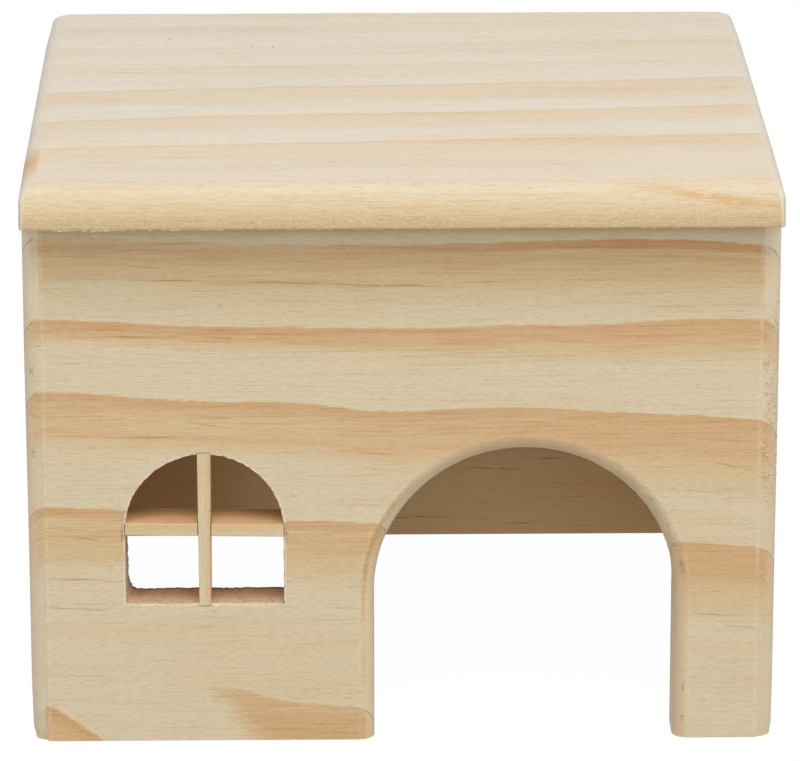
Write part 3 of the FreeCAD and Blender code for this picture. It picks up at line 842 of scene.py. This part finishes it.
def carve(bm, cutters):
    """Takes cutters out of a board with the Boolean modifier and gives the new bmesh."""
    objects = []
    for each in [bm] + cutters:
        bmesh.ops.recalc_face_normals(each, faces=each.faces[:])
        objects.append(new_object("work", mesh_from(each, "work")))
    for cutter in objects[1:]:
        tool = objects[0].modifiers.new("cut", "BOOLEAN")
        tool.operation, tool.solver, tool.object = "DIFFERENCE", "EXACT", cutter
    graph = bpy.context.evaluated_depsgraph_get()
    result = bpy.data.meshes.new_from_object(objects[0].evaluated_get(graph))
    carved = bmesh.new()
    carved.from_mesh(result)
    for each in objects:
        used = each.data
        bpy.data.objects.remove(each)
        bpy.data.meshes.remove(used)
    bpy.data.meshes.remove(result)
    bmesh.ops.remove_doubles(carved, verts=carved.verts[:], dist=1e-6)
    return carved


# %% [markdown]
# ## The front board
# The doorway is cut first and its front edge rounded with a 3 mm cutter, then the two upright
# outer edges with a slightly larger one. The window comes last, because it is left as sawn.

# %% Doorway and outer edges
FRONT_Y = front_low.y
bm = board(front_low, front_high)
door = arch(DOOR_X, DOOR_SPRING, -5, DOOR_RADIUS, FRONT_Y - 3 * MM, 360)
through(door, [front_high.y + 3 * MM])
bm = carve(bm, [door])
door_edges = [e for e in bm.edges if lies_at(e, 1, FRONT_Y)
              and all(abs(v.co.x - DOOR_X * MM) < DOOR_RADIUS * MM + TINY for v in e.verts)
              and any(v.co.z > TINY for v in e.verts)
              and all(v.co.z < front_high.z - TINY for v in e.verts)]
round_edges(bm, door_edges, DOOR_ROUND, 10)
outer_edges = [e for e in bm.edges if lies_at(e, 1, FRONT_Y)
               and abs(sum(v.co.x for v in e.verts)) > 2 * front_high.x - TINY]
round_edges(bm, outer_edges, SIDE_ROUND, 12)
print("door edges", len(door_edges), "outer edges", len(outer_edges))

# %% Wear of the rounded edges
POINT_STEP = 0.7  # mm between the points that wear can move
sides = [f for f in bm.faces if abs(f.calc_center_median().x) > 70 * MM and not is_flat(f)]
slice_faces(bm, sides, 2, POINT_STEP)
jambs = [f for f in bm.faces if not is_flat(f) and f.calc_center_median().z < DOOR_SPRING * MM
         and abs(f.calc_center_median().x - DOOR_X * MM) < 33.2 * MM]
slice_faces(bm, jambs, 2, POINT_STEP)


def foot_wear(place):
    """Depth in mm sanded off the house's outer sides, most of it next to the ground."""
    depth = (0.7 * max(0.0, 1 - place.z / 2.5) ** 2 + 0.25 * max(0.0, 1 - place.z / 12)
             + 0.16 * min(1.0, max(0.0, (80 - place.z) / 40)))
    return depth if place.x < 0 else 0.5 * depth


def sand_sides(bm, beyond_mm):
    """Sands the flat outer faces of a board, which lie more than beyond_mm from the middle."""
    for v in bm.verts:
        if abs(v.co.x) > beyond_mm * MM:
            v.co.x -= math.copysign(foot_wear(v.co / MM), v.co.x) * MM


def front_wear(place):
    """Depth in mm that the cutter and torn fibres took off the front board at a place in mm."""
    slow = noise.noise(place * 0.09)
    fine = noise.noise(Vector((place.x * 0.5, place.y * 0.5, place.z * 1.7)) + Vector((9, 4, 2)))
    torn = 0.0
    if place.x > 70 and 55 < place.z < 88 or 35 < place.x < 60 and 38 < place.z < 60:
        torn = 0.45 * max(0.0, noise.noise(place * 2.3))
    foot = foot_wear(place) if abs(place.x) > 70 else 0.0
    return 0.05 + 0.05 * slow + 0.035 * fine + torn + foot


flats = [f for f in bm.faces if abs(f.normal.x) > 0.9 and abs(f.calc_center_median().x) > 74 * MM]
slice_faces(bm, flats, 2, POINT_STEP)
wear(bm, front_wear)
sand_sides(bm, 74.65)
print("front board has", len(bm.verts), "points")

# %% Window outline
FRONT, LEFT_JAMB = -68.4, -55.2  # mm: the front face and the window's left side
CORNER = 2.4  # mm: the saw could not turn tighter in the lower left corner
window = arch(WINDOW_X, WINDOW_SPRING, SILL, WINDOW_RADIUS, FRONT_Y - 1 * MM, 320)
for length, cuts in ((WINDOW_SPRING - SILL, 40), (2 * WINDOW_RADIUS, 80)):
    straight = [e for e in window.edges if abs(e.calc_length() - length * MM) < 0.1 * MM]
    bmesh.ops.subdivide_edges(window, edges=straight, cuts=cuts)
through(window, [FRONT_Y + d * MM for d in (0.25, 1.2, 2.4, 3.8, 5.2, 6.6, 8.0, 9.2, 11.0)])
for v in window.verts:
    place = v.co / MM
    out = Vector((place.x - WINDOW_X, 0, place.z - WINDOW_SPRING)).normalized()
    teeth = noise.noise(Vector((place.x * 1.4, place.y * 0.3, place.z * 1.4)))
    slow = noise.noise(Vector((place.x * 0.3, place.y * 0.2, place.z * 0.3)) + Vector((5, 5, 5)))
    back = max(0.0, (place.y - FRONT) / 10)
    centre = Vector((LEFT_JAMB + CORNER, place.y, SILL + CORNER))
    if place.x < centre.x and place.z < centre.z:
        round_place = centre + (place - centre).normalized() * CORNER
        v.co = place.lerp(round_place, min(1.0, back * 1.3)) * MM
    if place.y < FRONT - 0.6:
        v.co += out * max(0.1, 0.8 + 1.6 * teeth) * MM
    left_lean = max(0.0, 1.0 - abs(place.x - LEFT_JAMB) / 0.6) * max(0.0, 44.0 - place.z) / 15.0
    crumbs = 0.05 * noise.noise(place * 3.5)
    v.co += out * ((0.10 + 0.10 * back) * teeth + crumbs + 0.12 * slow
                   - 0.35 * left_lean * back) * MM
print("window outline has", len(window.verts), "points")

# %% Notches for the bars
CROSS = Vector((WINDOW_X * MM, 0, WINDOW_SPRING * MM))
NOTCH_HALF = 1.4 * MM
notch_up = board(Vector((CROSS.x - NOTCH_HALF, FRONT_Y - 1 * MM, (SILL - 0.45) * MM)),
                 Vector((CROSS.x + NOTCH_HALF, front_high.y + 1 * MM, 60.95 * MM)))
for v in notch_up.verts:
    if v.co.z < CROSS.z:
        v.co.x = CROSS.x + (v.co.x - CROSS.x) * 0.84
reach = (WINDOW_RADIUS + 0.15) * MM
notch_side = board(Vector((CROSS.x - reach, FRONT_Y - 1 * MM, CROSS.z - NOTCH_HALF)),
                   Vector((CROSS.x + reach, front_high.y + 1 * MM, CROSS.z + NOTCH_HALF)))
bm = carve(bm, [window, notch_up, notch_side])
finished(bm, "front_board", "front_panel", front_pine)

# %% [markdown]
# ## The roof board
# The front edge has the largest rounding, the back edge a smaller one and the two ends, where the
# cutter crosses the fibres, the smallest. The bevel operator gives all four edges one radius, with
# a mitre line at each corner. One loop then moves every point to where its own edge's rounding
# has it, and a point near a corner drops by the larger of the two. The corners themselves were
# sanded, and the lower front edge broke out in small chips where the cutter left the wood.

# %% Roof board
ROOF_TOP, ROOF_HALF, ROOF_FREE = 116.8, 75, 15  # mm; the loop leaves what is further in alone
ROOF_RADIUS, FRONT_ROUND, END_ROUND, CORNER_ROUND = 5.6, 7.4, 3.2, 1.2
bm = board(roof_low, roof_high)
top = [e for e in bm.edges if all(v.co.z > roof_high.z - 1e-6 for v in e.verts)]
round_edges(bm, top, ROOF_RADIUS, 14)
for axis in (0, 1):
    rounded = [f for f in bm.faces if not (is_flat(f) and abs(f.normal.z) > 0.9)
               and abs(f.normal[axis]) < 0.2]
    slice_faces(bm, rounded, axis, 1.0)
    corners = [f for f in bm.faces if not (is_flat(f) and abs(f.normal.z) > 0.9)
               and abs(f.calc_center_median()[axis]) > 66.0 * MM]
    slice_faces(bm, corners, axis, 0.45)
foot = [e for e in bm.edges if all(v.co.z < roof_low.z + 1e-6 for v in e.verts)
        and any(abs(f.normal.z) < 0.9 for f in e.link_faces)]
round_edges(bm, foot, 0.35, 2)


def roof_wear(place):
    """Depth in mm taken off the roof's edges at a place in mm."""
    slow = noise.noise(place * 0.07 + Vector((3, 1, 7)))
    fine = noise.noise(Vector((place.x * 0.6, place.y * 0.6, place.z * 1.5)))
    return 0.06 + 0.06 * slow + 0.03 * fine


def stretched(distance, radius):
    """Where a distance in mm from an edge goes when its rounding gets another radius."""
    if distance > ROOF_FREE:
        return distance
    if distance > ROOF_RADIUS:
        return ROOF_FREE - ((ROOF_FREE - distance) * (ROOF_FREE - radius)
                            / (ROOF_FREE - ROOF_RADIUS))
    return distance * radius / ROOF_RADIUS


def fallen(distance, radius):
    """How far in mm a rounding has fallen below the top at a distance in mm from its edge."""
    return radius - math.sqrt(max(0.0, radius ** 2 - max(0.0, radius - distance) ** 2))


def set_in(z, radius):
    """How far in mm a rounding stands back from its edge at a height in mm."""
    climbed = max(0.0, z - ROOF_TOP + radius)
    return radius - math.sqrt(max(0.0, radius ** 2 - climbed ** 2))


for v in bm.verts:
    place = v.co / MM
    depth_round = FRONT_ROUND if place.y < 0 else ROOF_RADIUS
    if place.z > ROOF_TOP - ROOF_RADIUS - 0.01:
        x = stretched(ROOF_HALF - abs(place.x), END_ROUND)
        y = stretched(ROOF_HALF - abs(place.y), depth_round)
        fall = max(fallen(x, END_ROUND), fallen(y, depth_round))
        place = Vector((math.copysign(ROOF_HALF - x, place.x),
                        math.copysign(ROOF_HALF - y, place.y), ROOF_TOP - fall))
    climbed = min(1.0, max(0.0, (place.z - 111.2) / ROOF_RADIUS))
    rounding = CORNER_ROUND + (0.8 if place.y < 0 else 2.0) * climbed
    middle = Vector((
        math.copysign(ROOF_HALF - set_in(place.z, END_ROUND) - rounding, place.x),
        math.copysign(ROOF_HALF - set_in(place.z, depth_round) - rounding, place.y), place.z))
    if abs(place.x) > abs(middle.x) and abs(place.y) > abs(middle.y):
        reach = (place - middle).length
        if reach > rounding:
            place = middle + (place - middle) * (rounding / reach)
    v.co = place * MM
wear(bm, roof_wear)
for v in bm.verts:
    place = v.co / MM
    sanded = 0.18 * max(0.0, (-45 - place.y) / 30) + 0.45 * max(0.0, (place.y - 50) / 25)
    v.co.x -= math.copysign(sanded * max(0.0, abs(place.x) - 69) / 6, place.x) * MM
    if place.y < -74.5 and place.z < 108.7:
        torn = max(0.0, noise.noise(Vector((place.x * 0.45, 3.0, 1.0))) - 0.05)
        much = 1.0 if place.x < -45 else 0.25
        v.co.z += 0.9 * much * torn * MM
        v.co.y += 0.5 * much * torn * MM
    for axis in range(3):
        v.co[axis] = min(max(v.co[axis], roof_low[axis]), roof_high[axis])
finished(bm, "roof_board_top", "roof_board", roof_pine)

# %% [markdown]
# ## Back, sides and bars
# These boards keep their sawn, square edges. Sandpaper broke each edge by a quarter of a
# millimetre, which is enough to catch the light. The outer faces of the side boards were sanded
# together with the front board's ends, so they take the same wear near the ground.

# %% Plain boards
for node in ("back_panel", "left_side_panel", "right_side_panel"):
    bm = board(*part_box(node))
    round_edges(bm, bm.edges[:], 0.25, 2)
    if node != "back_panel":
        slice_faces(bm, bm.faces[:], 2, 1.0)
        sand_sides(bm, 74)
    finished(bm, node.replace("panel", "board"), node, wall_materials[node])

# %% Glazing bars
for node, along in (("window_upright", 2), ("window_crossbar", 0)):
    low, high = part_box(node)
    if along == 0:
        low.x, high.x = low.x + 0.3 * MM, high.x - 0.3 * MM
    bm = board(low, high)
    slot_low, slot_high = low - Vector((1, 1, 1)) * MM, high + Vector((1, 1, 1)) * MM
    slot_low[along], slot_high[along] = CROSS[along] - NOTCH_HALF, CROSS[along] + NOTCH_HALF
    half = (low.y + high.y) / 2
    if along == 2:
        slot_low.y = half - 0.05 * MM
    else:
        slot_high.y = half + 0.05 * MM
    round_edges(bm, [e for e in bm.edges if abs((e.verts[0].co - e.verts[1].co)[along]) > 1e-5],
                0.22, 3)
    slice_faces(bm, bm.faces[:], along, 0.8)
    bm = carve(bm, [board(slot_low, slot_high)])
    for v in bm.verts:
        if along == 2:
            v.co.x += (v.co.x - CROSS.x) * (-0.10 + 0.004 * (v.co.z / MM - 28.7))
        else:
            v.co.z -= 0.22 * MM * (v.co.x - CROSS.x) / (WINDOW_RADIUS * MM)
    finished(bm, node + "_bar", node, wall_materials[node])

# %% [markdown]
# ## Torn fibres
# Where the cutter met fibres end on, it pulled up little slivers instead of cutting them. They are
# paler than the board, because torn wood scatters light. Each is a thin cone from bmesh that lies
# on the surface: on the rounded right edge, round the window and along the roof's lower arris.
# Hair particles could do this too, but a seeded list of cones exports as plain mesh.

# %% Fibre material
fibre_pine = new_material("torn_pine_fibre")
add("OutputMaterial", {"Surface": add("BsdfPrincipled", {"Base Color": linear("#EBDCBD"),
                                                         "Roughness": 0.8})})


# %% Slivers
chance = random.Random(7)


def sliver(places, middle, direction, lengths, thicknesses):
    """Adds a cone in mm to places. Its length and thickness are drawn between two values each."""
    places.append((Vector(middle), Vector(direction), chance.uniform(*lengths),
                   chance.uniform(*thicknesses)))


def slivers(name, node, places):
    """Makes the cones of one piece."""
    bm = bmesh.new()
    for middle, direction, length, thick in places:
        turn = direction.to_track_quat("Z", "Y").to_matrix().to_4x4()
        bmesh.ops.create_cone(bm, cap_ends=True, segments=5, radius1=thick * MM,
                              radius2=0.2 * thick * MM, depth=length * MM,
                              matrix=Matrix.Translation(middle * MM) @ turn)
    finished(bm, name, node, fibre_pine)


# %% Fibres on the front: its outer edges, the sill, the window's arch
EDGE_X, EDGE_Y, EDGE_SWEEP = 71.1, -64.8, 3.58  # mm: an outer edge's rounding, just inside the wood
places = []
for i in range(100):
    side, low, high = (-1, 78, 84) if i < 10 else (1, 50, 92)
    a = math.radians(chance.uniform(10, 80))
    middle = (side * (EDGE_X + EDGE_SWEEP * math.sin(a)), EDGE_Y - EDGE_SWEEP * math.cos(a),
              chance.uniform(low, high))
    slope = math.radians(chance.uniform(15, 65))
    sliver(places, middle, (side * math.cos(a) * math.cos(slope), math.sin(a) * math.cos(slope),
                            -math.sin(slope)), (0.5, 1.6), (0.08, 0.15))
for i in range(34):
    sliver(places, (chance.uniform(-54.6, -24.2), -68.36, 29.0 + chance.uniform(-0.15, 0.1)),
           (1, chance.uniform(-0.05, 0.1), chance.uniform(-0.25, 0.25)), (0.5, 1.7), (0.05, 0.11))
for i in range(40):
    a = math.radians(chance.uniform(2, 178))
    sliver(places, (WINDOW_X + 15.95 * math.cos(a), -68.37, WINDOW_SPRING + 15.95 * math.sin(a)),
           (-math.sin(a), 0.05, math.cos(a) + chance.uniform(-0.3, 0.3)), (0.3, 1.1), (0.04, 0.09))
slivers("front_torn_fibres", "front_panel", places)

# %% Fibres on the roof: its lower front arris and the rounding above it
places = []
for i in range(420):
    low_edge = i < 130
    x = chance.uniform(-73, -35) if i % 2 and low_edge else chance.uniform(-73, 73)
    z = chance.uniform(108.62, 108.75) if low_edge else 110.3 + chance.gauss(0, 0.5)
    if not low_edge and noise.noise(Vector((x * 0.12, z, 0))) < 0.0:
        continue
    sliver(places, (x, -74.75 if low_edge else -74.90, z), (1, 0, chance.uniform(-0.3, 0.3)),
           (0.4, 1.6 if low_edge else 0.9), (0.05, 0.15 if low_edge else 0.08))
for i in range(9):
    sliver(places, (chance.uniform(-67, -57), -74.7, chance.uniform(108.45, 108.7)),
           (1, 0, chance.uniform(0.0, 0.25)), (1.2, 2.6), (0.12, 0.20))
slivers("roof_torn_fibres", "roof_board", places)

# %% [markdown]
# ## Beech dowels
# The dowels sit in closed bores and never show, but they are part of the model, so they keep
# their CAD shape and get the finish of a real beech rod: pinkish brown with short dark rays.

# %% Dowel material
dowel_beech = new_material("turned_beech_dowel")
rayed = stretched_noise(grain_space(1, 0, 2), 2.2, 0.25, 5.0, 1.0)
colour = colour_ramp(rayed, 0.0, 1.0, [(0.0, "#D2A883"), (0.55, "#CDA27B"), (0.75, "#A9764F")])
add("OutputMaterial", {"Surface": add("BsdfPrincipled", {"Base Color": colour,
                                                         "Roughness": 0.5})})
for name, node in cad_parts.items():
    if name.endswith("_dowels"):
        node.data.materials.clear()
        node.data.materials.append(dowel_beech)
